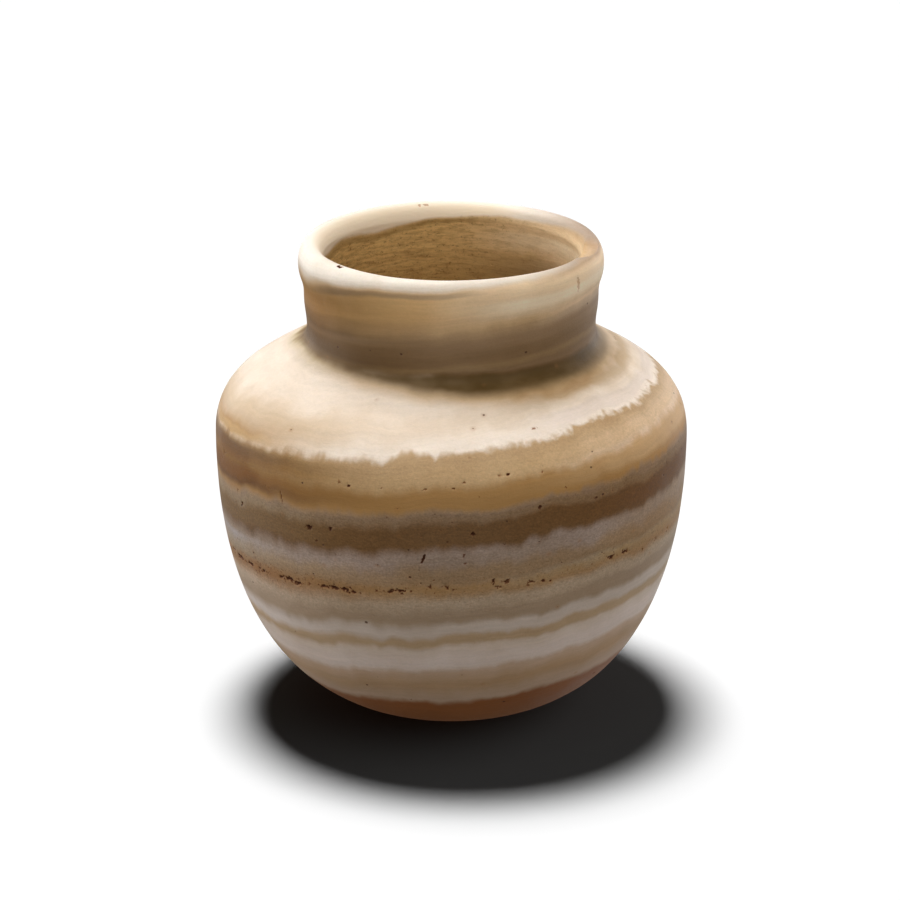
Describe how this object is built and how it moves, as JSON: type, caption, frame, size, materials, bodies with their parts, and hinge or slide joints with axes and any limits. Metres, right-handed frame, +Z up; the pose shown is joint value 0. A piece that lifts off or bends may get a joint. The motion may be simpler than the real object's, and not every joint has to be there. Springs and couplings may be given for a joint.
{
  "type": "alabaster vessel",
  "caption": "Squat round-bottomed stone jar with a rolled shoulder, a wide flared neck and a rounded lip, hollowed to hold a liquid or ointment.",
  "frame": {"origin": "centre of the small flat foot that the jar stands on", "axes": "+Z up the jar's axis to the mouth; -Y is the front, as pictured, and +X is its right"},
  "size_m": [0.11, 0.11, 0.1113],
  "materials": {
    "banded_alabaster": "satin, hand-rubbed, slightly translucent, in tilted cream, honey and grey-brown bands"
  },
  "bodies": {
    "root": {"vessel": "banded_alabaster"}
  },
  "joints": []
}
